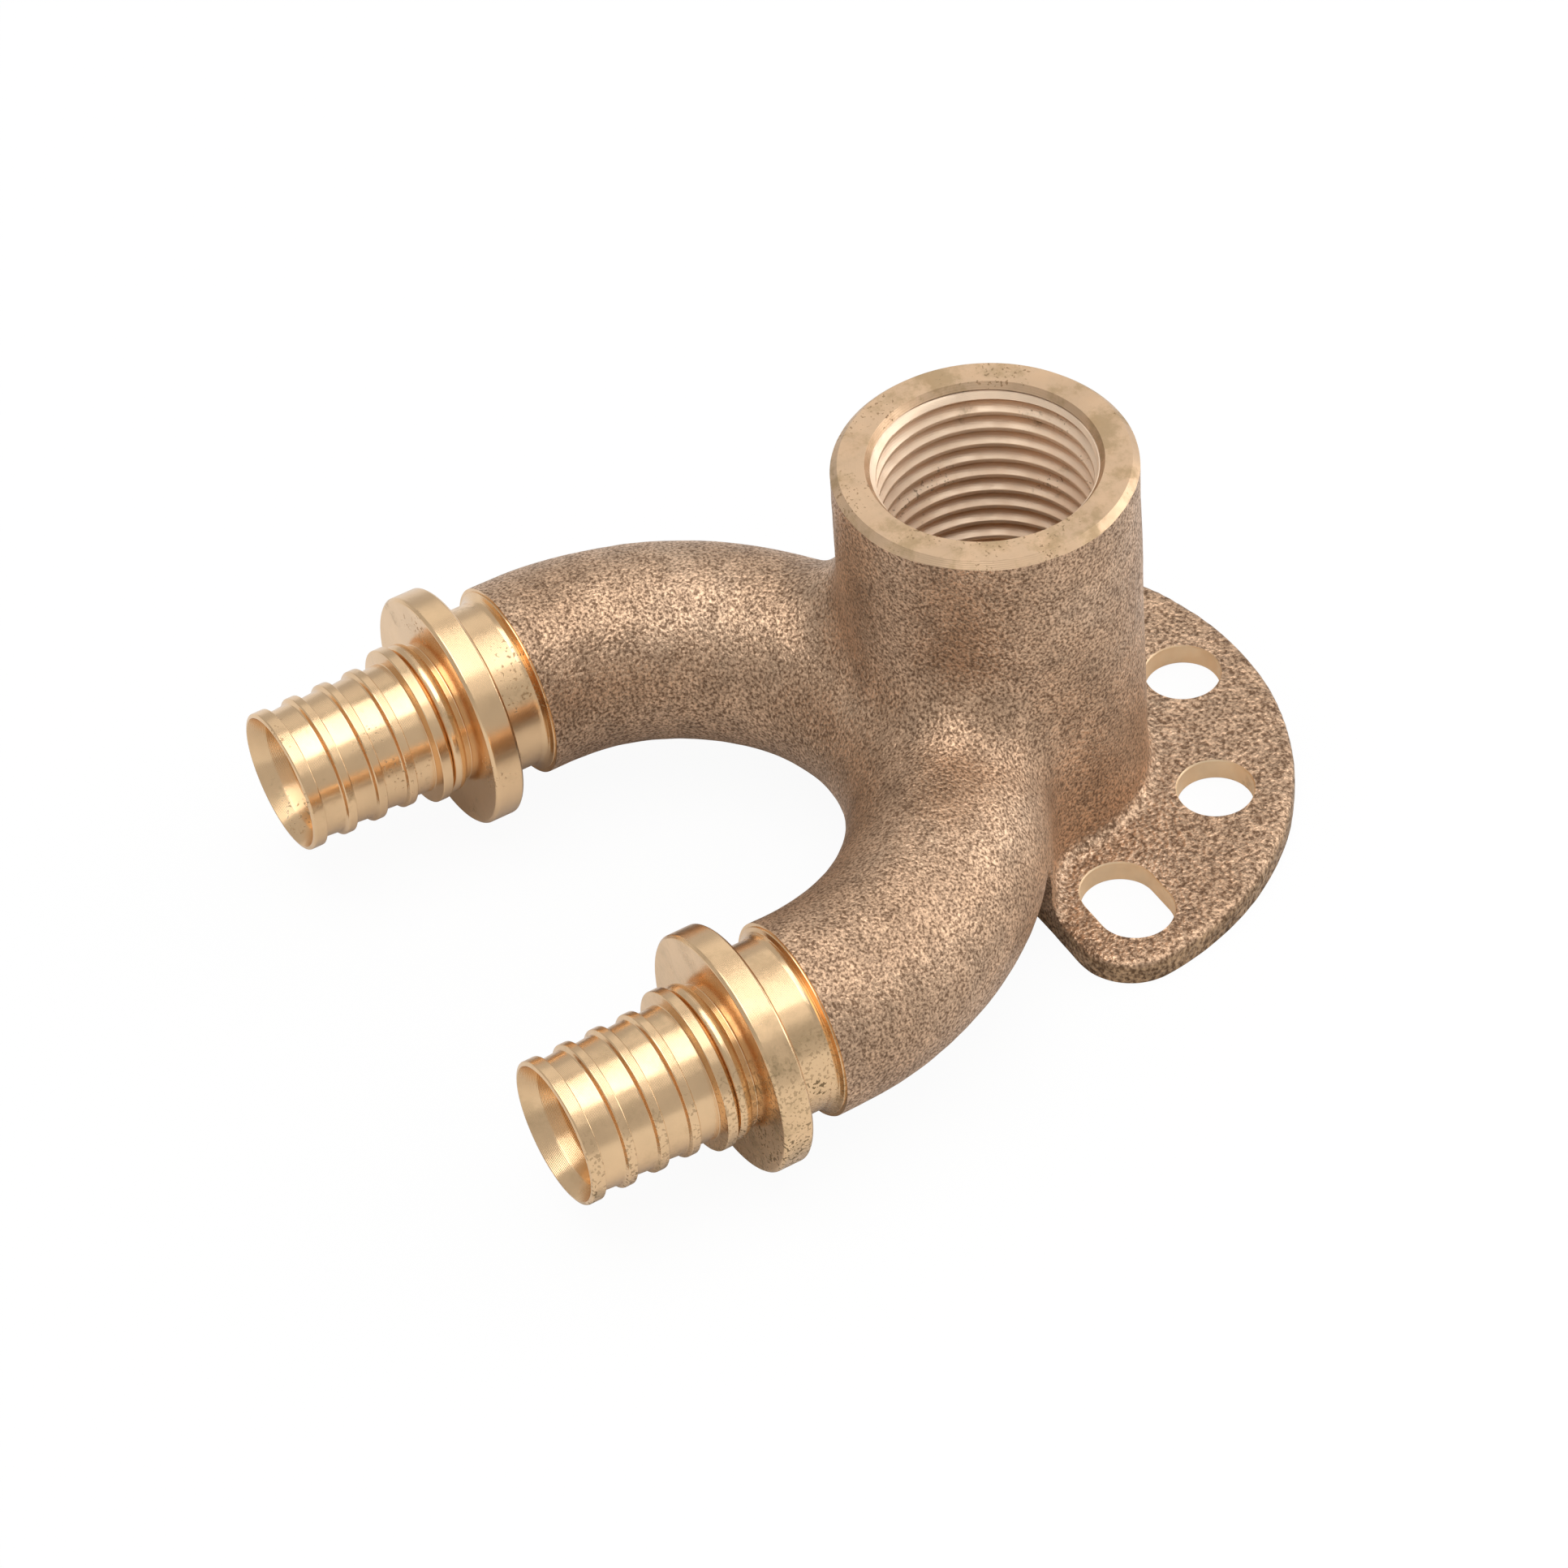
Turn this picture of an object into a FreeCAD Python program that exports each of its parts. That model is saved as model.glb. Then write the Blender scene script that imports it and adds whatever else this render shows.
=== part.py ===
import FreeCAD, Part
import os
import math

# Wall plate elbow, one casting with machined ends. Sizes are in millimetres.
# The origin is where the socket's axis meets the wall. +Z points out of the
# wall along the socket, and both pipe spigots point to -Y.

# Threaded socket
socket_height = 38.0
socket_top_radius = 13.25
socket_draft = 0.25
rim_chamfer = 0.65
thread_core_radius = 9.316
mouth_radius = 10.25
mouth_depth = 1.3
thread_depth = 19.0
chamber_radius = 8.2

# Bent pipe that joins both spigots
pipe_axis_height = 11.6
pipe_radius = 8.9
pipe_wall = 2.7
bend_radius = 24.7
crest_setback = 9.2
cast_stub_length = 1.7

# Wall plate and its screw holes
plate_thickness = 2.3
plate_radius = 28.9
plate_centre_drop = 2.9
plate_straight_drop = 6.5
plate_corner_radius = 5.4
plate_edge_bevel = 0.4
hole_radius = 3.45
hole_circle_radius = 19.8
hole_step_angle = 45.0
slot_travel = 2.6

# Soft corners of the casting
saddle_radius = 6.0
foot_radius = 1.2

# Barbed spigot, measured back from its open end
spigot_length = 22.9
bore_radius = 4.8
funnel_depth = 2.4
lip_width = 0.35
lip_rounding = 0.15
barb_radius = 6.5
barb_groove_depth = 0.55
barb_groove_rise = 0.15
barb_slope = 0.2
barb_pitch = 3.0
barb_count = 4
first_land = 1.3
barb_land = 0.8
stop_ring_radius = 7.28
stop_ring_setback = 12.45
stop_ring_land = 0.95
undercut_radius = 6.6
shoulder_radius = 7.0
shoulder_setback = 14.4
shoulder_land = 0.6
collar_setback = 15.75
collar_thickness = 2.8
collar_radius = 10.85
collar_chamfer = 0.25
grip_neck_radius = 7.78
bead_radius = 8.55
bead_land = 0.4
bead_ramp = 0.5

# Sizes that follow from the ones above
core_radius = pipe_radius - pipe_wall
bend_setback = bend_radius + crest_setback
casting_end = -bend_setback - cast_stub_length
spigot_tip = casting_end - spigot_length
clear_of_part = socket_height
touch = 1e-4
up = FreeCAD.Vector(0, 0, 1)
outward = FreeCAD.Vector(0, -1, 0)
inward = FreeCAD.Vector(0, 1, 0)


def bent_rod(radius, stub_length):
    """Round bar that follows the bend and runs on as a straight stub at both ends."""
    bend_centre = FreeCAD.Vector(0, -bend_setback, pipe_axis_height)
    rod = Part.makeTorus(bend_radius, radius, bend_centre, up, 0, 360, 180)
    for side in (1, -1):
        start = FreeCAD.Vector(side * bend_radius, -bend_setback, pipe_axis_height)
        rod = rod.fuse(Part.makeCylinder(radius, stub_length, start, outward))
    return rod.removeSplitter()


def is_upright(edge):
    box = edge.BoundBox
    return box.ZLength > 2 * (box.XLength + box.YLength)


def plate_blank(height):
    """The plate's half-round outline, raised from the wall to the given height."""
    centre = FreeCAD.Vector(0, -plate_centre_drop, 0)
    disc = Part.makeCylinder(plate_radius, height, centre)
    width = 2 * plate_radius + clear_of_part
    corner = FreeCAD.Vector(-width / 2, -plate_straight_drop, 0)
    half = disc.common(Part.makeBox(width, width, height, corner))
    corners = [edge for edge in half.Edges if is_upright(edge)]
    return half.makeFillet(plate_corner_radius, corners)


def socket_column():
    """Tapered socket wall down to the pipe's axis, and to the wall above the plate."""
    taper = socket_draft / socket_height
    foot_radius_at_wall = socket_top_radius + socket_draft
    radius_at_axis = foot_radius_at_wall - taper * pipe_axis_height
    middle = FreeCAD.Vector(0, 0, pipe_axis_height)
    rise = socket_height - pipe_axis_height
    upper = Part.makeCone(radius_at_axis, socket_top_radius, rise, middle)
    foot = Part.makeCone(foot_radius_at_wall, radius_at_axis, pipe_axis_height)
    return upper.fuse(foot.common(plate_blank(pipe_axis_height)))


def pipe_web():
    """Solid strip under the pipe where it passes over the plate."""
    centre = FreeCAD.Vector(0, -bend_setback, 0)
    outer = Part.makeCylinder(bend_radius + pipe_radius, pipe_axis_height, centre)
    return outer.common(plate_blank(pipe_axis_height))


def edges_between(shape, first_kind, second_kind):
    """Edges where one kind of surface meets the other."""
    wanted = sorted(["Part::Geom" + first_kind, "Part::Geom" + second_kind])
    found = []
    for edge in shape.Edges:
        faces = shape.ancestorsOfType(edge, Part.Face)
        if sorted(face.Surface.TypeId for face in faces) == wanted:
            found.append(edge)
    return found


def edges_at_height(shape, height):
    found = []
    for edge in shape.Edges:
        box = edge.BoundBox
        if box.ZMax - height < touch and height - box.ZMin < touch:
            found.append(edge)
    return found


def is_on_plate_outline(edge, outline):
    middle = Part.Vertex(edge.valueAt((edge.FirstParameter + edge.LastParameter) / 2))
    return min(rim.distToShape(middle)[0] for rim in outline) < touch


def plate_bevel():
    """Cutter that bevels the plate's free edge, and stops short of the pipe's web."""
    sharp = plate_blank(plate_thickness)
    outline = edges_at_height(sharp, plate_thickness)
    waste = sharp.cut(sharp.makeChamfer(plate_edge_bevel, outline))
    web_outside = bend_radius + pipe_radius
    web_depth = bend_setback - plate_straight_drop
    web_half = math.sqrt(web_outside ** 2 - web_depth ** 2) + foot_radius
    corner = FreeCAD.Vector(-web_half, -plate_straight_drop, 0)
    keep = Part.makeBox(2 * web_half, plate_straight_drop, plate_thickness, corner)
    return waste.cut(keep)


def casting():
    """Bent pipe, socket and plate in one piece, with the soft corners of a casting."""
    joined = bent_rod(pipe_radius, cast_stub_length)
    joined = joined.fuse([pipe_web(), socket_column()]).removeSplitter()
    crease = edges_between(joined, "Toroid", "Cone")
    joined = joined.makeFillet(saddle_radius, crease)
    joined = joined.makeChamfer(rim_chamfer, edges_at_height(joined, socket_height))
    sharp = plate_blank(plate_thickness)
    outline = edges_at_height(sharp, plate_thickness)
    joined = joined.fuse(sharp).removeSplitter()
    on_plate = edges_at_height(joined, plate_thickness)
    foot = [edge for edge in on_plate if not is_on_plate_outline(edge, outline)]
    joined = joined.makeFillet(foot_radius, foot)
    return joined.cut(plate_bevel())


def plate_hole(angle, travel):
    """Cutter for one screw hole, drawn out along X by the given travel."""
    turned = math.radians(angle)
    across = hole_circle_radius * math.cos(turned)
    along = hole_circle_radius * math.sin(turned)
    height = 2 * plate_thickness
    centre = FreeCAD.Vector(across, along, -plate_thickness / 2)
    cutter = Part.makeCylinder(hole_radius, height, centre)
    if travel == 0:
        return cutter
    reach = math.copysign(travel, across)
    far_centre = centre + FreeCAD.Vector(reach, 0, 0)
    corner = FreeCAD.Vector(min(across, across + reach), along - hole_radius, centre.z)
    middle = Part.makeBox(travel, 2 * hole_radius, height, corner)
    return cutter.fuse([middle, Part.makeCylinder(hole_radius, height, far_centre)])


def plate_holes():
    slots = [plate_hole(0, slot_travel), plate_hole(180, slot_travel)]
    rounds = [plate_hole(turn * hole_step_angle, 0) for turn in (1, 2, 3)]
    return slots + rounds


def lathe(profile, side):
    """Turns a profile of (distance from the open end, radius) about one spigot's axis."""
    points = []
    for along, radius in profile:
        x = side * bend_radius + radius
        points.append(FreeCAD.Vector(x, spigot_tip + along, pipe_axis_height))
    face = Part.Face(Part.makePolygon(points + points[:1]))
    axis_point = FreeCAD.Vector(side * bend_radius, 0, pipe_axis_height)
    return face.revolve(axis_point, inward, 360)


def barb_profile():
    """The first land at the open end and the barbs behind it, up to the stop ring."""
    groove = barb_radius - barb_groove_depth
    profile = [(0, barb_radius - lip_rounding), (lip_rounding, barb_radius)]
    for number in range(barb_count):
        back = first_land + number * barb_pitch
        if number > 0:
            front = back - barb_land
            profile.append((front - barb_slope, groove + barb_groove_rise))
            profile.append((front, barb_radius))
        profile.append((back, barb_radius))
        profile.append((back, groove))
    return profile


def collar_profile():
    """Stop ring, rounded shoulder, collar, grip neck and bead, back to the casting."""
    groove = barb_radius - barb_groove_depth + barb_groove_rise
    ring_front = stop_ring_setback - (stop_ring_radius - groove)
    ring_back = stop_ring_setback + stop_ring_land
    shoulder_rise = shoulder_radius - undercut_radius
    shoulder_end = shoulder_setback + shoulder_land
    collar_back = collar_setback + collar_thickness
    bead_front = spigot_length - bead_land
    return [
        (ring_front, groove),
        (stop_ring_setback, stop_ring_radius),
        (ring_back, stop_ring_radius),
        (ring_back, undercut_radius),
        (shoulder_setback - shoulder_rise, undercut_radius),
        (shoulder_setback, shoulder_radius),
        (shoulder_end, shoulder_radius),
        (shoulder_end + shoulder_rise, undercut_radius),
        (collar_setback, undercut_radius),
        (collar_setback, collar_radius - collar_chamfer),
        (collar_setback + collar_chamfer, collar_radius),
        (collar_back - collar_chamfer, collar_radius),
        (collar_back, collar_radius - collar_chamfer),
        (collar_back, grip_neck_radius),
        (bead_front - bead_ramp, grip_neck_radius),
        (bead_front, bead_radius),
        (spigot_length, bead_radius),
    ]


def spigot(side):
    """One turned spigot, solid, reaching back into the casting."""
    inside = spigot_length + cast_stub_length / 2
    profile = [(0, 0)] + barb_profile() + collar_profile()
    profile = profile + [(inside, bead_radius), (inside, 0)]
    return lathe(profile, side)


def spigot_bore(side):
    """Funnel at the open end and the drilled waterway behind it."""
    inside = spigot_length + cast_stub_length / 2
    mouth = barb_radius - lip_width
    profile = [(0, 0), (0, mouth), (funnel_depth, bore_radius)]
    profile = profile + [(inside, bore_radius), (inside, 0)]
    return lathe(profile, side)


def socket_bore():
    """Mouth, thread core and the chamber that opens into the bent waterway."""
    thread_end = socket_height - thread_depth
    floor = pipe_axis_height - core_radius
    mouth_start = FreeCAD.Vector(0, 0, socket_height - mouth_depth)
    mouth = Part.makeCone(thread_core_radius, mouth_radius, mouth_depth, mouth_start)
    thread_start = FreeCAD.Vector(0, 0, thread_end)
    core = Part.makeCylinder(thread_core_radius, thread_depth, thread_start)
    chamber_start = FreeCAD.Vector(0, 0, floor)
    chamber = Part.makeCylinder(chamber_radius, thread_end - floor, chamber_start)
    return mouth.fuse([core, chamber])


def elbow_body():
    body = casting()
    for side in (1, -1):
        body = body.fuse(spigot(side))
    body = body.cut(plate_holes())
    body = body.cut([bent_rod(core_radius, cast_stub_length / 2), socket_bore()])
    for side in (1, -1):
        body = body.cut(spigot_bore(side))
    return body


os.makedirs("parts", exist_ok=True)
body = elbow_body()
body.exportStep("parts/elbow_body.step")
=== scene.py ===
import math
import bmesh
import bpy
from mathutils import Matrix, Vector, noise


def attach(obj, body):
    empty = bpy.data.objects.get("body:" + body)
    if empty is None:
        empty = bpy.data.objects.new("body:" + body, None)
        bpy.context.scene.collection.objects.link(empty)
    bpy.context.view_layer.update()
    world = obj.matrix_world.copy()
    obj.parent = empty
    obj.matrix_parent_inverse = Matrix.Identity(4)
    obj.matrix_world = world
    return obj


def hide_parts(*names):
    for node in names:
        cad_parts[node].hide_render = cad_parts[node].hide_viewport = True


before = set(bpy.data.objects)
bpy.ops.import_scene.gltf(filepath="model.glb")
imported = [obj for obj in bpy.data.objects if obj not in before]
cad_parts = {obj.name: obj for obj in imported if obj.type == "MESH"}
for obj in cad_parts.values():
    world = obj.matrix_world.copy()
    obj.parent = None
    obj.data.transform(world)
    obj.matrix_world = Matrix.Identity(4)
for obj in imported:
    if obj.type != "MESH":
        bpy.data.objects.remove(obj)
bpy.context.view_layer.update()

mm = 0.001  # sizes are in millimetres, and are scaled as each mesh is made
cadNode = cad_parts["elbow_body"]
print("frame loaded")

# the solid's own sizes, which all the pieces below fit
socket = dict(height=38.0, topRadius=13.25, chamfer=0.65, mouth=10.25, mouthDepth=1.3, coreRadius=9.316,
              lipDepth=0.6, linerRadius=10.6, linerOverlap=0.4, threadEnd=19.0)
pipe = dict(axisHeight=11.6, radius=8.9, bend=24.7, end=35.6, spigotTip=58.5)
plate = dict(thickness=2.3, holeRadius=3.45, holeCircle=19.8, holeAngles=(45, 90, 135), slotTravel=2.6)


# mesh helpers

def meshObject(name, bm, materials):
    mesh = bpy.data.meshes.new(name)
    bm.to_mesh(mesh)
    bm.free()
    for face in mesh.polygons:
        face.use_smooth = True
    for material in materials:
        mesh.materials.append(material)
    piece = bpy.data.objects.new(name, mesh)
    bpy.context.scene.collection.objects.link(piece)
    return piece


def turned(bm, profile, place, segments, material=0):
    # the profile is a closed outline of (along, radius) pairs, along being the lathe axis
    rings = []
    for along, radius in profile:
        if radius <= 0:
            rings.append([bm.verts.new(place @ Vector((0, 0, along)))])
            continue
        ring = []
        for step in range(segments):
            angle = 2 * math.pi * step / segments
            point = Vector((radius * math.cos(angle), radius * math.sin(angle), along))
            ring.append(bm.verts.new(place @ point))
        rings.append(ring)
    for first, second in zip(rings, rings[1:] + rings[:1]):
        if len(first) == 1 and len(second) == 1:
            continue
        for step in range(segments):
            after = (step + 1) % segments
            corners = [first[step % len(first)], first[after % len(first)],
                       second[after % len(second)], second[step % len(second)]]
            # a ring that is one point on the axis gives a triangle
            face = bm.faces.new(list(dict.fromkeys(corners)))
            face.material_index = material


def band(low, high, inner, outer):
    # outline of a plain ring between two heights and two radii
    return [(low, inner), (low, outer), (high, outer), (high, inner)]


def turnedObject(name, profile, place, segments, material):
    bm = bmesh.new()
    turned(bm, profile, place, segments)
    bmesh.ops.recalc_face_normals(bm, faces=bm.faces)
    return meshObject(name, bm, [material])


def rounded(profile, radius, steps=3):
    # cuts each sharp corner of an open outline with a small arc
    most = 0.45  # of the shorter side
    lead = 1.1  # an extra ring beside each arc keeps the long faces flat in their shading
    result = [profile[0]]
    for before, corner, after in zip(profile, profile[1:], profile[2:]):
        here = Vector(corner)
        back = Vector(before) - here
        ahead = Vector(after) - here
        cut = min(radius, back.length * most, ahead.length * most)
        start = here + back.normalized() * cut
        end = here + ahead.normalized() * cut
        result.append(tuple(here + back.normalized() * cut * lead))
        for step in range(steps + 1):
            share = step / steps
            point = start.lerp(here, share).lerp(here.lerp(end, share), share)
            result.append(tuple(point))
        result.append(tuple(here + ahead.normalized() * cut * lead))
    result.append(profile[-1])
    return result


def alongZ(x, y):
    return Matrix.Translation((x * mm, y * mm, 0)) @ Matrix.Scale(mm, 4)


def spigotPlace(side):
    # lathe axis runs from the open end back towards the casting
    turn = Matrix.Rotation(math.radians(-90), 4, "X")
    spot = Vector((side * pipe["bend"], -pipe["spigotTip"], pipe["axisHeight"])) * mm
    return Matrix.Translation(spot) @ turn @ Matrix.Scale(mm, 4)


def cutOff(bm, spot, direction):
    # takes away what lies past a plane and closes the cut
    geometry = bm.verts[:] + bm.edges[:] + bm.faces[:]
    bmesh.ops.bisect_plane(bm, geom=geometry, plane_co=spot, plane_no=direction, clear_outer=True)
    openEdges = [edge for edge in bm.edges if edge.is_boundary]
    bmesh.ops.triangle_fill(bm, use_beauty=True, edges=openEdges)


def applied(piece):
    # the modifiers' result becomes the piece's own mesh
    bpy.context.view_layer.update()
    evaluated = piece.evaluated_get(bpy.context.evaluated_depsgraph_get())
    mesh = bpy.data.meshes.new_from_object(evaluated)
    old = piece.data
    piece.modifiers.clear()
    piece.data = mesh
    bpy.data.meshes.remove(old)


def cutAway(piece, tools, selfCrossing=False):
    for tool in tools:
        cut = piece.modifiers.new("cut", "BOOLEAN")
        cut.operation = "DIFFERENCE"
        cut.solver = "EXACT"
        cut.material_mode = "TRANSFER"
        cut.use_self = selfCrossing
        cut.object = tool
    applied(piece)
    for tool in tools:
        bpy.data.objects.remove(tool)


def shaded(piece, sharpAngle):
    # smooth all over but for edges sharper than the angle
    for face in piece.data.polygons:
        face.use_smooth = True
    piece.data.set_sharp_from_angle(angle=math.radians(sharpAngle))


# node helpers; a noise is given by its scale per metre of object coordinates, its detail and its roughness

def newMaterial(name):
    material = bpy.data.materials.new(name)
    material.use_nodes = True
    tree = material.node_tree
    tree.nodes.clear()
    output = tree.nodes.new("ShaderNodeOutputMaterial")
    shader = tree.nodes.new("ShaderNodeBsdfPrincipled")
    tree.links.new(shader.outputs["BSDF"], output.inputs["Surface"])
    coords = tree.nodes.new("ShaderNodeTexCoord")
    return material, tree, shader, coords


def grey(level):
    return (level, level, level)


def noiseNode(tree, coords, scale, detail, roughness):
    node = tree.nodes.new("ShaderNodeTexNoise")
    node.inputs["Scale"].default_value = scale
    node.inputs["Detail"].default_value = detail
    node.inputs["Roughness"].default_value = roughness
    tree.links.new(coords.outputs["Object"], node.inputs["Vector"])
    return node.outputs["Fac"]


def cellNode(tree, coords, scale):
    node = tree.nodes.new("ShaderNodeTexVoronoi")
    node.feature = "SMOOTH_F1"
    node.inputs["Scale"].default_value = scale
    tree.links.new(coords.outputs["Object"], node.inputs["Vector"])
    return node.outputs["Distance"]


def placeNode(tree, coords):
    node = tree.nodes.new("ShaderNodeSeparateXYZ")
    tree.links.new(coords.outputs["Object"], node.inputs[0])
    return node


def rampNode(tree, source, stops):
    ramp = tree.nodes.new("ShaderNodeValToRGB")
    ends = ramp.color_ramp.elements
    for end, (position, colour) in ((ends[0], stops[0]), (ends[1], stops[-1])):
        end.position = position
        end.color = (*colour, 1)
    for position, colour in stops[1:-1]:
        ramp.color_ramp.elements.new(position).color = (*colour, 1)
    tree.links.new(source, ramp.inputs["Fac"])
    return ramp.outputs["Color"]


def mixNode(tree, factor, first, second, blend="MIX"):
    mix = tree.nodes.new("ShaderNodeMix")
    mix.data_type = "RGBA"
    mix.blend_type = blend
    # inputs 6 and 7 are the node's colour pair
    for place, value in ((0, factor), (6, first), (7, second)):
        if isinstance(value, bpy.types.NodeSocket):
            tree.links.new(value, mix.inputs[place])
        elif place == 0:
            mix.inputs[place].default_value = value
        else:
            mix.inputs[place].default_value = (*value, 1)
    return mix.outputs[2]


def mathNode(tree, operation, first, second):
    node = tree.nodes.new("ShaderNodeMath")
    node.operation = operation
    for place, value in enumerate((first, second)):
        if isinstance(value, bpy.types.NodeSocket):
            tree.links.new(value, node.inputs[place])
        else:
            node.inputs[place].default_value = value
    return node.outputs[0]


def rangeNode(tree, source, low, high, toLow=0.0, toHigh=1.0):
    node = tree.nodes.new("ShaderNodeMapRange")
    node.interpolation_type = "SMOOTHSTEP"
    limits = (("From Min", low), ("From Max", high), ("To Min", toLow), ("To Max", toHigh))
    for name, value in limits:
        node.inputs[name].default_value = value
    tree.links.new(source, node.inputs["Value"])
    return node.outputs["Result"]


def bumpNode(tree, shader, height, strength, distance):
    bump = tree.nodes.new("ShaderNodeBump")
    bump.inputs["Strength"].default_value = strength
    bump.inputs["Distance"].default_value = distance
    tree.links.new(height, bump.inputs["Height"])
    tree.links.new(bump.outputs["Normal"], shader.inputs["Normal"])


# blasted sand casting: bright grain tops, dark pits between them

castLook = dict(
    grain=(3700, 2.0, 0.6), plateGrain=(2500, 2.0, 0.6), patches=(85, 4.0, 0.6), drift=(420, 2.0, 0.5),
    pits=2700, pitDepth=0.7,
    patchColours=[(0.3, (0.44, 0.285, 0.18)), (0.55, (0.55, 0.37, 0.243)), (0.75, (0.61, 0.43, 0.295))],
    grainTones=[(0.36, (0.43, 0.38, 0.34)), (0.5, grey(0.93)), (0.64, grey(1.42))],
    driftTones=[(0.3, grey(0.82)), (0.7, grey(1.12))],
    plateFace=(0.0026, 0.0044),  # the plate's coarse grain ends between these heights, in metres
    # painted shade on the plate's side and underside: the colour is darkened by the tint below these
    # heights, in metres
    plateShadeHeights=(0.0016, 0.00215), paintedSideShade=(0.74, 0.72, 0.64),
    metallic=0.85, glossRange=(0.34, 0.66), roughness=(0.62, 0.34),
    plateRelief=1.9, bump=0.75, bumpDepth=0.00014,
)


def castBronze():
    look = castLook
    material, tree, shader, coords = newMaterial("castBronze")
    height = placeNode(tree, coords).outputs["Z"]
    fine = noiseNode(tree, coords, *look["grain"])
    coarse = noiseNode(tree, coords, *look["plateGrain"])
    grain = mixNode(tree, rangeNode(tree, height, *look["plateFace"], 1.0, 0.0), fine, coarse)
    patches = rampNode(tree, noiseNode(tree, coords, *look["patches"]), look["patchColours"])
    drift = rampNode(tree, noiseNode(tree, coords, *look["drift"]), look["driftTones"])
    colour = mixNode(tree, 1.0, patches, rampNode(tree, grain, look["grainTones"]), "MULTIPLY")
    colour = mixNode(tree, 1.0, colour, drift, "MULTIPLY")
    # painted shade: the plate's side and underside are darkened, with a slight olive tint, below its face
    side = rangeNode(tree, height, *look["plateShadeHeights"], 1.0, 0.0)
    colour = mixNode(tree, side, colour, look["paintedSideShade"], "MULTIPLY")
    tree.links.new(colour, shader.inputs["Base Color"])
    shader.inputs["Metallic"].default_value = look["metallic"]
    gloss = rangeNode(tree, grain, *look["glossRange"], *look["roughness"])
    tree.links.new(gloss, shader.inputs["Roughness"])
    pits = mathNode(tree, "MULTIPLY", cellNode(tree, coords, look["pits"]), look["pitDepth"])
    stronger = rangeNode(tree, height, *look["plateFace"], look["plateRelief"], 1.0)
    relief = mathNode(tree, "MULTIPLY", mathNode(tree, "SUBTRACT", grain, pits), stronger)
    bumpNode(tree, shader, relief, look["bump"], look["bumpDepth"])
    return material


# tarnish of the turned faces: brown clouds, and small dark pits inside some of them

tarnishLook = dict(
    clouds=(240, 5.0, 0.7), cloudRange=(0.62, 0.76), cloudShift=(0.18, 0.12), brown=(0.38, 0.27, 0.14),
    cloudShare=0.6, cloudDulls=0.35,
    regions=(150, 2.0, 0.5), regionRange=(0.62, 0.7), regionShift=0.12,
    pits=(3100, 1.0, 0.5), pitStart=0.62, pitFade=0.05, dark=(0.15, 0.10, 0.045), pitShare=0.42,
)

# the near spigot has more of it on the outer and lower side of its raised rings
wornLook = dict(raised=(0.00605, 0.0064), lower=(-0.001, 0.004), cloudLeft=0.4, regionLeft=0.45,
                pitStart=0.565, pitShare=0.8)


def wornSide(tree, coords):
    place = placeNode(tree, coords)
    across = mathNode(tree, "SUBTRACT", place.outputs["X"], pipe["bend"] * mm)
    above = mathNode(tree, "SUBTRACT", place.outputs["Z"], pipe["axisHeight"] * mm)
    acrossSquare = mathNode(tree, "MULTIPLY", across, across)
    aboveSquare = mathNode(tree, "MULTIPLY", above, above)
    square = mathNode(tree, "ADD", acrossSquare, aboveSquare)
    raised = rangeNode(tree, mathNode(tree, "SQRT", square, 0.0), *wornLook["raised"])
    lower = rangeNode(tree, mathNode(tree, "SUBTRACT", across, above), *wornLook["lower"])
    return mathNode(tree, "MULTIPLY", raised, lower)


def tarnished(tree, coords, colour, tarnish, worn):
    # more tarnish lowers the levels at which clouds and pits start
    look = {**tarnishLook, **wornLook} if worn else tarnishLook
    low, high = (level - tarnish * shift for level, shift in zip(look["cloudRange"], look["cloudShift"]))
    cloud = rangeNode(tree, noiseNode(tree, coords, *look["clouds"]), low, high)
    low, high = (level - tarnish * look["regionShift"] for level in look["regionRange"])
    region = rangeNode(tree, noiseNode(tree, coords, *look["regions"]), low, high)
    if worn:
        side = wornSide(tree, coords)
        region = mathNode(tree, "MULTIPLY", rangeNode(tree, region, 0.0, 1.0, look["regionLeft"], 1.0), side)
        cloud = mathNode(tree, "MULTIPLY", cloud, rangeNode(tree, side, 0.0, 1.0, look["cloudLeft"], 1.0))
    colour = mixNode(tree, mathNode(tree, "MULTIPLY", cloud, look["cloudShare"]), colour, look["brown"])
    dots = noiseNode(tree, coords, *look["pits"])
    dots = rangeNode(tree, dots, look["pitStart"], look["pitStart"] + look["pitFade"])
    pits = mathNode(tree, "MULTIPLY", region, dots)
    colour = mixNode(tree, mathNode(tree, "MULTIPLY", pits, look["pitShare"]), colour, look["dark"])
    dull = mathNode(tree, "MAXIMUM", mathNode(tree, "MULTIPLY", cloud, look["cloudDulls"]), pits)
    return colour, dull


# turned faces; the lathe lines follow the given object axis, and "ring" draws circles about Z

latheLook = dict(
    tones=(160, 4.0, 0.6), toneRange=(0.35, 0.65), deepShare=0.88,
    sheen=(420, 3.0, 0.6), sheenRange=(0.35, 0.7), sheenSpread=1.4, dullRoughens=0.35,
    lines=2600, lineWobble=1.5, lineDetail=1.0, dullSinks=1.5, bump=0.14, bumpDepth=0.00003,
)


def latheLines(tree, coords, across):
    lines = tree.nodes.new("ShaderNodeTexWave")
    lines.wave_type = "RINGS" if across == "ring" else "BANDS"
    if across == "ring":
        lines.rings_direction = "Z"
    else:
        lines.bands_direction = across
    lines.inputs["Scale"].default_value = latheLook["lines"]
    lines.inputs["Distortion"].default_value = latheLook["lineWobble"]
    lines.inputs["Detail"].default_value = latheLook["lineDetail"]
    tree.links.new(coords.outputs["Object"], lines.inputs["Vector"])
    return lines.outputs["Fac"]


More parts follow.
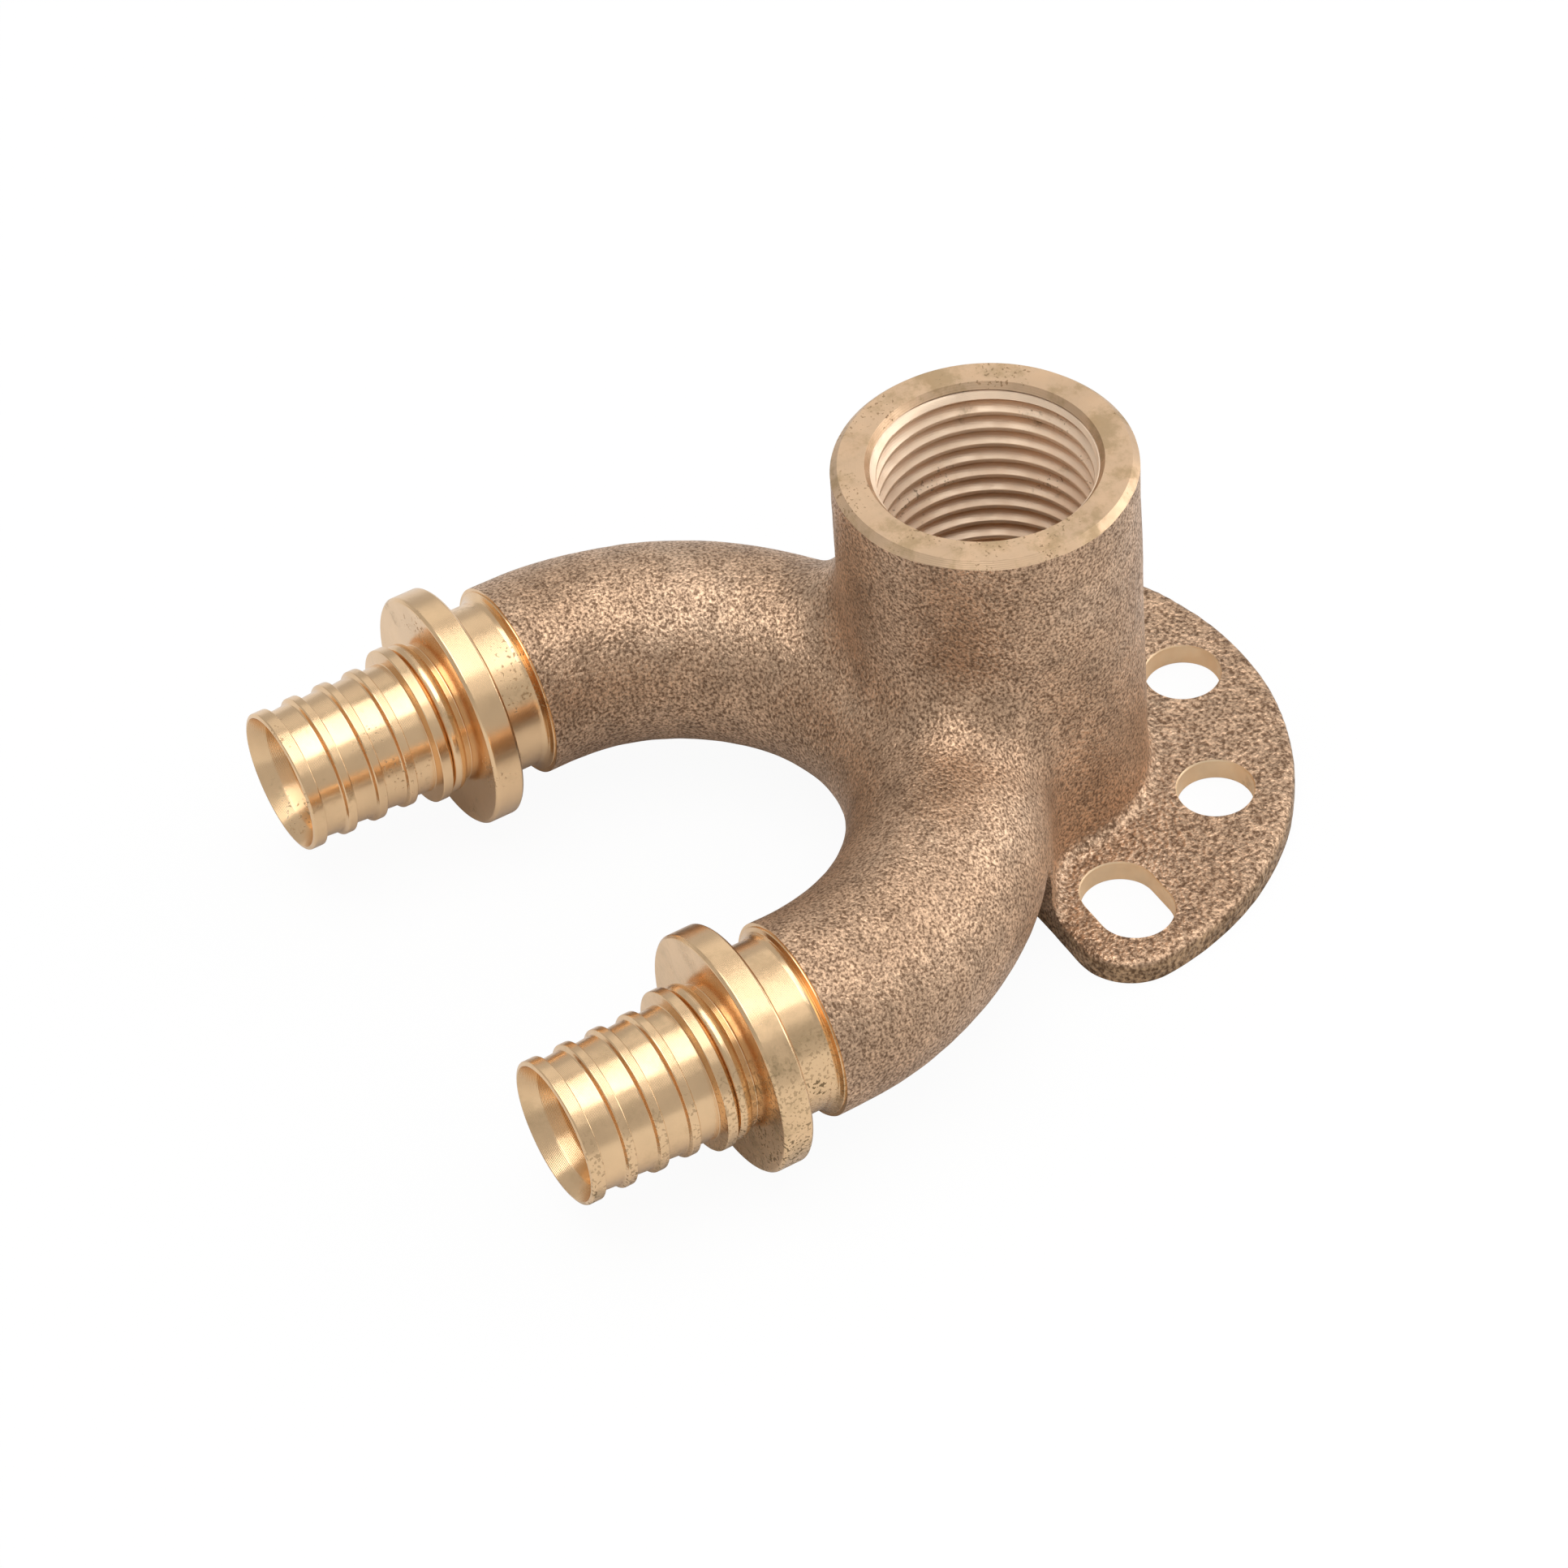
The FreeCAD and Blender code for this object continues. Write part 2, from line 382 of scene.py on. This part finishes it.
def turnedBronze(name, colour, roughness, across, tarnish, worn=False, metallic=1.0):
    look = latheLook
    material, tree, shader, coords = newMaterial(name)
    deep = tuple(channel * look["deepShare"] for channel in colour)
    low, high = look["toneRange"]
    tones = rampNode(tree, noiseNode(tree, coords, *look["tones"]), [(low, deep), (high, colour)])
    surface, dull = tarnished(tree, coords, tones, tarnish, worn)
    tree.links.new(surface, shader.inputs["Base Color"])
    shader.inputs["Metallic"].default_value = metallic
    sheen = noiseNode(tree, coords, *look["sheen"])
    sheen = rangeNode(tree, sheen, *look["sheenRange"], roughness, roughness * look["sheenSpread"])
    rougher = mathNode(tree, "MULTIPLY", dull, look["dullRoughens"])
    tree.links.new(mathNode(tree, "ADD", sheen, rougher), shader.inputs["Roughness"])
    sunk = mathNode(tree, "MULTIPLY", dull, look["dullSinks"])
    relief = mathNode(tree, "SUBTRACT", latheLines(tree, coords, across), sunk)
    bumpNode(tree, shader, relief, look["bump"], look["bumpDepth"])
    return material


spigotMetal = dict(colour=(0.90, 0.62, 0.36), roughness=0.18, across="Y")
turnedLooks = dict(
    rim=dict(name="turnedRim", colour=(0.74, 0.52, 0.335), roughness=0.38, across="ring", tarnish=0.9),
    # the thread's bronze is lighter and less metallic than the other turned faces: painted light inside the
    # socket's bore
    thread=dict(name="litCutThread", colour=(0.98, 0.77, 0.57), roughness=0.42, across="Z", tarnish=0.1,
                metallic=0.6),
    spigot=dict(name="turnedSpigot", tarnish=0.25, **spigotMetal),
    spotted=dict(name="spottedSpigot", tarnish=0.8, worn=True, **spigotMetal),
    drilled=dict(name="drilledHole", colour=(0.93, 0.71, 0.47), roughness=0.45, across="Z", tarnish=0.3),
)
finish = {key: turnedBronze(**look) for key, look in turnedLooks.items()}
finish["cast"] = castBronze()
print("materials made:", len(finish))


# cast body with its turned rim, drilled plate holes and spigot seats

cast = dict(
    voxel=0.42, smoothing=3, smoothShare=0.5, sharpAngle=32,
    lump=0.07, lumpScale=0.16, ripple=0.025, rippleScale=0.7, sink=0.03,
    merge=0.001, wallTolerance=0.01, underside=1.2, plugSpare=0.4, plugSteps=48,
    rimAbove=1.0, rimBelow=1.8, endSpare=1.0, endInner=5.9, endCut=0.3, spareSteps=128,
    rimClear=2.0, rimSteps=256, lipSlope=0.15,
    burrWidth=0.12, burrDepth=0.15, holeBelow=1.0, holeAbove=1.5, holeSteps=96,
    seatReach=11.0, seatClear=4.0, entryRadius=6.0, entryDepth=1.4,
)
castMetals = [finish["cast"], finish["rim"], finish["spigot"], finish["drilled"]]
rimFace, seatFace, holeFace = 1, 2, 3  # places in that list


def roundHoles():
    places = []
    for angle in plate["holeAngles"]:
        turn = math.radians(angle)
        places.append((plate["holeCircle"] * math.cos(turn), plate["holeCircle"] * math.sin(turn)))
    return places


def plugCentres():
    # plugs that cover all five holes, with three of them along each slot
    centres = roundHoles()
    for side in (1, -1):
        for share in (0.0, 0.5, 1.0):
            centres.append((side * (plate["holeCircle"] + share * plate["slotTravel"]), 0.0))
    return centres


def castBlank():
    # the CAD solid up to the casting's ends, with its holes filled for clean cuts later
    bm = bmesh.new()
    bm.from_mesh(cadNode.data)
    bmesh.ops.remove_doubles(bm, verts=bm.verts, dist=cast["merge"] * mm)
    # the underside goes lower here and is cut flat later, which keeps its edge crisp
    bottom = -cast["underside"]
    for vertex in bm.verts:
        if vertex.co.z < cast["wallTolerance"] * mm:
            vertex.co.z = bottom * mm
    cutOff(bm, (0, (cast["endCut"] - pipe["end"]) * mm, 0), (0, -1, 0))
    plug = band(bottom, plate["thickness"], 0.0, plate["holeRadius"] + cast["plugSpare"])
    for x, y in plugCentres():
        turned(bm, plug, alongZ(x, y), cast["plugSteps"])
    top = socket["height"]
    inner, outer = socket["coreRadius"], socket["topRadius"]
    rimSpare = band(top - cast["rimBelow"], top + cast["rimAbove"], inner, outer)
    turned(bm, rimSpare, alongZ(0, 0), cast["spareSteps"])
    end = pipe["spigotTip"] - pipe["end"]
    endSpare = band(end - cast["endSpare"], end + cast["endSpare"], cast["endInner"], pipe["radius"])
    for side in (1, -1):
        turned(bm, endSpare, spigotPlace(side), cast["spareSteps"])
    bmesh.ops.recalc_face_normals(bm, faces=bm.faces)
    return meshObject("castBody", bm, castMetals)


def castSkin(piece):
    # a fine even mesh with the soft corners of a casting
    remesh = piece.modifiers.new("remesh", "REMESH")
    remesh.mode = "VOXEL"
    remesh.voxel_size = cast["voxel"] * mm
    smooth = piece.modifiers.new("smooth", "SMOOTH")
    smooth.factor = cast["smoothShare"]
    smooth.iterations = cast["smoothing"]
    applied(piece)
    piece.data.materials.clear()
    for material in castMetals:
        piece.data.materials.append(material)


def unevenSkin(piece):
    # slow lumps and finer ripples of a sand casting
    # the normals are read first, as each move would have them worked out again
    normals = [vertex.normal.copy() for vertex in piece.data.vertices]
    for vertex, normal in zip(piece.data.vertices, normals):
        spot = vertex.co / mm
        push = cast["lump"] * noise.noise(spot * cast["lumpScale"])
        push += cast["ripple"] * noise.noise(spot * cast["rippleScale"])
        vertex.co += normal * (push - cast["sink"]) * mm


def flatUnderside(piece):
    # the face that sits on the wall
    bm = bmesh.new()
    bm.from_mesh(piece.data)
    cutOff(bm, (0, 0, 0), (0, 0, -1))
    bmesh.ops.recalc_face_normals(bm, faces=bm.faces)
    bm.to_mesh(piece.data)
    bm.free()


def mouthRadius(height):
    # the socket's countersunk mouth
    share = (socket["height"] - height) / socket["mouthDepth"]
    return socket["mouth"] + (socket["coreRadius"] - socket["mouth"]) * share


def rimTool():
    # flat rim, its chamfer, the upper end of the mouth and room for the thread
    clear, chamfer = cast["rimClear"], socket["chamfer"]
    top, outer, liner = socket["height"], socket["topRadius"], socket["linerRadius"]
    lip = top - socket["lipDepth"]
    foot = socket["threadEnd"] - socket["linerOverlap"]
    return [(top + clear, 0.0), (top + clear, outer + clear), (top - chamfer - clear, outer + clear),
            (top, outer - chamfer), (top, socket["mouth"]), (lip, mouthRadius(lip)),
            (lip - cast["lipSlope"], liner), (foot, liner), (foot, 0.0)]


def seatTool():
    # flat end of the casting and the mouth of its bore, where a spigot is set
    end = pipe["spigotTip"] - pipe["end"]
    start, deep = end - cast["seatClear"], end + cast["entryDepth"]
    reach, entry = cast["seatReach"], cast["entryRadius"]
    return [(start, 0.0), (start, reach), (end, reach), (end, entry), (deep, entry), (deep, 0.0)]


def holeTool(bm, x, y, travel):
    # one round or slotted cutter, slightly wider at both faces of the plate
    steps, radius, top = cast["holeSteps"], plate["holeRadius"], plate["thickness"]
    wide, deep = radius + cast["burrWidth"], cast["burrDepth"]
    levels = [(-cast["holeBelow"], wide), (0.0, wide), (deep, radius),
              (top - deep, radius), (top, wide), (top + cast["holeAbove"], wide)]
    rings = []
    for height, reach in levels:
        ring = []
        for step in range(steps):
            angle = 2 * math.pi * (step + 0.5) / steps
            shift = travel if math.cos(angle) * travel > 0 else 0.0
            point = Vector((x + shift + reach * math.cos(angle), y + reach * math.sin(angle), height))
            ring.append(bm.verts.new(point * mm))
        rings.append(ring)
    sides = []
    for lower, upper in zip(rings, rings[1:]):
        for step in range(steps):
            after = (step + 1) % steps
            sides.append([lower[step], lower[after], upper[after], upper[step]])
    for corners in sides + [rings[0], rings[-1]]:
        bm.faces.new(corners).material_index = holeFace


def castTools():
    bm = bmesh.new()
    turned(bm, rimTool(), alongZ(0, 0), cast["rimSteps"], rimFace)
    for x, y in roundHoles():
        holeTool(bm, x, y, 0.0)
    for side in (1, -1):
        holeTool(bm, side * plate["holeCircle"], 0.0, side * plate["slotTravel"])
    for side in (1, -1):
        turned(bm, seatTool(), spigotPlace(side), cast["spareSteps"], seatFace)
    bmesh.ops.recalc_face_normals(bm, faces=bm.faces)
    return meshObject("castTools", bm, castMetals)


def makeCastBody():
    body = castBlank()
    castSkin(body)
    unevenSkin(body)
    flatUnderside(body)
    cutAway(body, [castTools()])
    shaded(body, cast["sharpAngle"])
    return body


castBody = makeCastBody()
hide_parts("elbow_body")
print("cast body made:", len(castBody.data.polygons), "faces")


# turned spigots; distances are measured back from the open end

spigot = dict(
    groove=5.95, rise=0.15, barb=6.5, pitch=3.0, firstLand=1.3, land=0.8, slope=0.2, lip=0.2, lipWidth=0.12,
    stop=dict(front=12.3, slope=0.12, back=13.4, backSlope=0.05, radius=7.28, undercut=6.4),
    ridge=dict(front=13.66, centre=14.4, back=15.14, half=0.68, base=6.6, radius=7.05, steps=6),
    collar=dict(front=15.75, thickness=2.8, radius=10.85, chamfer=0.25),
    neck=dict(radius=7.78, end=22.1), bead=[(22.4, 7.9), (22.65, 8.2), (22.8, 8.55), (22.95, 8.55)],
    tail=dict(start=23.0, end=24.2, radius=5.95),
    bore=4.8, funnel=[(6.5, 4.8), (4.5, 4.9), (2.8, 5.12), (1.5, 5.45), (0.7, 5.82)],
    rounding=0.09, steps=160, sharpAngle=50,
)


def barbOutline():
    # four barbs, the first of them a plain land behind the lip
    groove, barb, first = spigot["groove"], spigot["barb"], spigot["firstLand"]
    width = spigot["lipWidth"]
    outline = [(0.0, groove + spigot["lip"] + width), (width, barb), (first, barb), (first, groove)]
    for number in (1, 2, 3):
        back = first + number * spigot["pitch"]
        front = back - spigot["land"]
        foot = (front - spigot["slope"], groove + spigot["rise"])
        outline += [foot, (front, barb), (back, barb), (back, groove)]
    return outline


def stopOutline():
    # stop ring, then a half-round ridge between two undercuts
    stop, ridge = spigot["stop"], spigot["ridge"]
    radius, undercut, front, back = stop["radius"], stop["undercut"], stop["front"], stop["back"]
    outline = [(front, spigot["groove"] + spigot["rise"]), (front + stop["slope"], radius), (back, radius),
               (back + stop["backSlope"], undercut), (ridge["front"], undercut)]
    for step in range(ridge["steps"] + 1):
        angle = math.pi * step / ridge["steps"]
        height = (ridge["radius"] - ridge["base"]) * math.sin(angle)
        outline.append((ridge["centre"] - ridge["half"] * math.cos(angle), ridge["base"] + height))
    return outline + [(ridge["back"], undercut), (spigot["collar"]["front"], undercut)]


def collarOutline():
    # collar, grip neck, flared bead and the tail inside the casting
    collar, neck, tail = spigot["collar"], spigot["neck"], spigot["tail"]
    front, radius, chamfer = collar["front"], collar["radius"], collar["chamfer"]
    back = front + collar["thickness"]
    outline = [(front, radius - chamfer), (front + chamfer, radius),
               (back - chamfer, radius), (back, radius - chamfer)]
    outline += [(back, neck["radius"]), (neck["end"], neck["radius"])] + spigot["bead"]
    return outline + [(tail["start"], tail["radius"]), (tail["end"], tail["radius"])]


def makeSpigot(name, side, metal):
    outside = barbOutline() + stopOutline() + collarOutline()
    inside = [(spigot["tail"]["end"], spigot["bore"])] + spigot["funnel"]
    lip = (0.0, spigot["groove"] + spigot["lip"])
    outline = rounded(outside + inside + [lip], spigot["rounding"])
    piece = turnedObject(name, outline, spigotPlace(side), spigot["steps"], metal)
    shaded(piece, spigot["sharpAngle"])
    return piece


spigots = [makeSpigot("spigotRight", 1, finish["spotted"]), makeSpigot("spigotLeft", -1, finish["spigot"])]
print("spigots turned:", len(spigots))


# socket thread: a coil of ridges on a liner, trimmed by the socket's mouth

thread = dict(
    pitch=1.814, depth=0.95, rootWidth=1.76, crestWidth=0.36, cornerRadius=0.1, runout=1.4, turnSteps=128,
    linerGap=0.01, linerRise=0.3, linerFall=0.2, lipGap=0.12, steps=160, sharpAngle=35,
    mouthGap=0.02, mouthFlare=1.4, clear=2.0, spare=1.0,
)


def coilPath(nodes, links, given):
    spiral = nodes.new("GeometryNodeCurveSpiral")
    links.new(given.outputs["Steps a turn"], spiral.inputs["Resolution"])
    rise = nodes.new("ShaderNodeMath")
    rise.operation = "MULTIPLY"
    links.new(given.outputs["Pitch"], rise.inputs[0])
    links.new(given.outputs["Turns"], rise.inputs[1])
    links.new(given.outputs["Turns"], spiral.inputs["Rotations"])
    links.new(given.outputs["Root radius"], spiral.inputs["Start Radius"])
    links.new(given.outputs["Root radius"], spiral.inputs["End Radius"])
    links.new(rise.outputs[0], spiral.inputs["Height"])
    lift = nodes.new("GeometryNodeTransform")
    offset = nodes.new("ShaderNodeCombineXYZ")
    links.new(given.outputs["Lower end"], offset.inputs["Z"])
    links.new(offset.outputs[0], lift.inputs["Translation"])
    links.new(spiral.outputs["Curve"], lift.inputs["Geometry"])
    normal = nodes.new("GeometryNodeSetCurveNormal")
    normal.mode = "Z_UP"
    links.new(lift.outputs[0], normal.inputs["Curve"])
    return normal.outputs["Curve"]


def ridgeOutline(nodes, links, given):
    # the ridge stands on the root radius and points at the socket's axis
    outline = nodes.new("GeometryNodeCurvePrimitiveQuadrilateral")
    outline.mode = "TRAPEZOID"
    links.new(given.outputs["Root width"], outline.inputs["Bottom Width"])
    links.new(given.outputs["Crest width"], outline.inputs["Top Width"])
    links.new(given.outputs["Depth"], outline.inputs["Height"])
    outline.inputs["Offset"].default_value = 0
    half = nodes.new("ShaderNodeMath")
    half.operation = "MULTIPLY"
    half.inputs[1].default_value = 0.5
    links.new(given.outputs["Depth"], half.inputs[0])
    inset = nodes.new("ShaderNodeCombineXYZ")
    links.new(half.outputs[0], inset.inputs["X"])
    turn = nodes.new("GeometryNodeTransform")
    turn.inputs["Rotation"].default_value = (0, 0, -math.pi / 2)
    links.new(inset.outputs[0], turn.inputs["Translation"])
    links.new(outline.outputs["Curve"], turn.inputs["Geometry"])
    corners = nodes.new("GeometryNodeFilletCurve")
    corners.mode = "POLY"
    corners.inputs["Count"].default_value = 3
    links.new(given.outputs["Corner radius"], corners.inputs["Radius"])
    links.new(turn.outputs[0], corners.inputs["Curve"])
    return corners.outputs["Curve"]


def threadTree():
    tree = bpy.data.node_groups.new("threadCoil", "GeometryNodeTree")
    tree.interface.new_socket("Geometry", in_out="INPUT", socket_type="NodeSocketGeometry")
    sizes = ("Pitch", "Turns", "Root radius", "Depth", "Root width", "Crest width", "Corner radius",
             "Lower end")
    for label in sizes:
        tree.interface.new_socket(label, in_out="INPUT", socket_type="NodeSocketFloat")
    tree.interface.new_socket("Steps a turn", in_out="INPUT", socket_type="NodeSocketInt")
    tree.interface.new_socket("Finish", in_out="INPUT", socket_type="NodeSocketMaterial")
    tree.interface.new_socket("Geometry", in_out="OUTPUT", socket_type="NodeSocketGeometry")
    nodes, links = tree.nodes, tree.links
    given = nodes.new("NodeGroupInput")
    sweep = nodes.new("GeometryNodeCurveToMesh")
    sweep.inputs["Fill Caps"].default_value = True
    links.new(coilPath(nodes, links, given), sweep.inputs["Curve"])
    links.new(ridgeOutline(nodes, links, given), sweep.inputs["Profile Curve"])
    flat = nodes.new("GeometryNodeRealizeInstances")
    links.new(sweep.outputs["Mesh"], flat.inputs["Geometry"])
    coat = nodes.new("GeometryNodeSetMaterial")
    links.new(given.outputs["Finish"], coat.inputs["Material"])
    links.new(flat.outputs["Geometry"], coat.inputs["Geometry"])
    result = nodes.new("NodeGroupOutput")
    links.new(coat.outputs["Geometry"], result.inputs["Geometry"])
    return tree


def setInputs(modifier, values):
    for item in modifier.node_group.interface.items_tree:
        if item.item_type == "SOCKET" and item.in_out == "INPUT" and item.name in values:
            modifier[item.identifier] = values[item.name]


def threadCoil(root, start):
    coil = meshObject("socketThread", bmesh.new(), [finish["thread"]])
    modifier = coil.modifiers.new("coil", "NODES")
    modifier.node_group = threadTree()
    setInputs(modifier, {
        "Pitch": thread["pitch"] * mm, "Turns": (socket["height"] - start) / thread["pitch"],
        "Root radius": root * mm, "Depth": thread["depth"] * mm, "Root width": thread["rootWidth"] * mm,
        "Crest width": thread["crestWidth"] * mm, "Corner radius": thread["cornerRadius"] * mm,
        "Lower end": start * mm, "Steps a turn": thread["turnSteps"], "Finish": finish["thread"]})
    applied(coil)
    return coil


def addLiner(coil, root, start, lip, outer):
    # the wall behind the ridges, down to the plain bore below the last turn
    core = socket["coreRadius"]
    low = socket["threadEnd"] - socket["linerOverlap"]
    bm = bmesh.new()
    bm.from_mesh(coil.data)
    outline = [(low, core), (low, outer), (lip, outer), (lip, root),
               (start + thread["linerRise"], root), (start - thread["linerFall"], core)]
    turned(bm, outline, alongZ(0, 0), thread["steps"])
    bmesh.ops.recalc_face_normals(bm, faces=bm.faces)
    bm.to_mesh(coil.data)
    bm.free()


def makeThread():
    top, core = socket["height"], socket["coreRadius"]
    root = core + thread["depth"]
    start = socket["threadEnd"] + thread["runout"] - thread["pitch"] / 2
    lip = top - socket["lipDepth"] - thread["lipGap"]
    outer = socket["linerRadius"] - thread["linerGap"]
    coil = threadCoil(root, start)
    addLiner(coil, root, start, lip, outer)
    # what the countersunk mouth takes off, and what stands above the liner
    base = top - socket["mouthDepth"]
    gap, clear, spare = thread["mouthGap"], thread["clear"], thread["spare"]
    mouth = [(base, 0.0), (base, core - gap), (top, socket["mouth"] - gap),
             (top + clear, socket["mouth"] + thread["mouthFlare"]), (top + clear, 0.0)]
    above = band(lip, top + clear + spare, core - spare, outer + clear)
    tools = [turnedObject(name, outline, alongZ(0, 0), thread["steps"], finish["thread"])
             for name, outline in (("mouthTool", mouth), ("aboveTool", above))]
    cutAway(coil, tools, selfCrossing=True)
    shaded(coil, thread["sharpAngle"])
    return coil


socketThread = makeThread()
print("thread cut:", len(socketThread.data.polygons), "faces")

for piece in [castBody, socketThread] + spigots:
    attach(piece, "root")
print("pieces placed on the root body")


# floor, sky, lamps and camera; places in metres

studio = dict(floorHalf=1.6, floorDrop=0.00002, floorGrey=0.72, floorRoughness=0.9, glow=1.015,
              glowShare=0.93, skyLight=0.55, skySeen=1.0)
lampTarget = (0, -0.02, 0.015)
lamps = dict(
    topLamp=dict(place=(0.02, -0.14, 1.0), size=(1.0, 0.75), power=5.5),
    stripLamp=dict(place=(0.12, 0.44, 0.95), size=(1.8, 0.36), power=1.2),
    rightLamp=dict(place=(0.25, 0.9, 0.45), size=(1.0, 0.6), power=3.9),
    backLamp=dict(place=(-0.8, 0.45, 0.7), size=(0.8, 0.6), power=0.5),
)
# the photograph's view, worked out from the rim, collar and mouth circles; angles in degrees, rest in mm
view = dict(azimuth=62.482, elevation=44.844, roll=-4.686, distance=504.151, right=-18.434, up=-10.704,
            lift=14.16, focalPixels=7060.11, framePixels=1932, sensor=36)


def makeFloor():
    # the camera sees an even white, and the lamps a grey floor that holds the shadow
    material, tree, shader, _ = newMaterial("paleFloor")
    shader.inputs["Base Color"].default_value = (*grey(studio["floorGrey"]), 1)
    shader.inputs["Roughness"].default_value = studio["floorRoughness"]
    glow = tree.nodes.new("ShaderNodeEmission")
    glow.inputs["Strength"].default_value = studio["glow"]
    path = tree.nodes.new("ShaderNodeLightPath")
    share = mathNode(tree, "MULTIPLY", path.outputs["Is Camera Ray"], studio["glowShare"])
    mix = tree.nodes.new("ShaderNodeMixShader")
    tree.links.new(share, mix.inputs[0])
    tree.links.new(shader.outputs[0], mix.inputs[1])
    tree.links.new(glow.outputs[0], mix.inputs[2])
    output = [node for node in tree.nodes if node.type == "OUTPUT_MATERIAL"][0]
    tree.links.new(mix.outputs[0], output.inputs["Surface"])
    bm = bmesh.new()
    bmesh.ops.create_grid(bm, x_segments=2, y_segments=2, size=studio["floorHalf"])
    floor = meshObject("floor", bm, [material])
    floor.location.z = -studio["floorDrop"]


def makeSky():
    world = bpy.data.worlds.new("studio")
    bpy.context.scene.world = world
    world.use_nodes = True
    tree = world.node_tree
    tree.nodes.clear()
    output = tree.nodes.new("ShaderNodeOutputWorld")
    sky = tree.nodes.new("ShaderNodeBackground")
    sky.inputs["Color"].default_value = (1, 1, 1, 1)
    path = tree.nodes.new("ShaderNodeLightPath")
    level = tree.nodes.new("ShaderNodeMapRange")
    level.inputs["To Min"].default_value = studio["skyLight"]
    level.inputs["To Max"].default_value = studio["skySeen"]
    tree.links.new(path.outputs["Is Camera Ray"], level.inputs["Value"])
    tree.links.new(level.outputs[0], sky.inputs["Strength"])
    tree.links.new(sky.outputs[0], output.inputs["Surface"])


def makeLamp(name, place, size, power):
    data = bpy.data.lights.new(name, "AREA")
    data.shape = "RECTANGLE"
    data.size, data.size_y = size
    data.energy = power
    lamp = bpy.data.objects.new(name, data)
    lamp.location = place
    lamp.rotation_euler = (Vector(lampTarget) - Vector(place)).to_track_quat("-Z", "Y").to_euler()
    bpy.context.scene.collection.objects.link(lamp)


def makeCamera():
    azimuth, elevation, roll = (math.radians(view[key]) for key in ("azimuth", "elevation", "roll"))
    level = Vector((math.cos(azimuth), math.sin(azimuth), 0))
    forward = Vector((math.sin(azimuth), -math.cos(azimuth), 0))
    back = forward * math.cos(elevation) + Vector((0, 0, math.sin(elevation)))
    upright = back.cross(level)
    right = level * math.cos(roll) + upright * math.sin(roll)
    up = upright * math.cos(roll) - level * math.sin(roll)
    eye = back * view["distance"] + right * view["right"] + up * view["up"] + Vector((0, 0, view["lift"]))
    data = bpy.data.cameras.new("camera")
    data.sensor_width = view["sensor"]
    data.lens = view["focalPixels"] / view["framePixels"] * view["sensor"]
    data.clip_start = 0.01
    data.clip_end = 20
    camera = bpy.data.objects.new("camera", data)
    camera.matrix_world = Matrix.Translation(eye * mm) @ Matrix((right, up, back)).transposed().to_4x4()
    bpy.context.scene.collection.objects.link(camera)
    bpy.context.scene.camera = camera


makeFloor()
makeSky()
for name, values in lamps.items():
    makeLamp(name, **values)
makeCamera()
bpy.context.scene.view_settings.view_transform = "Standard"
print("studio set:", len(lamps), "lamps")
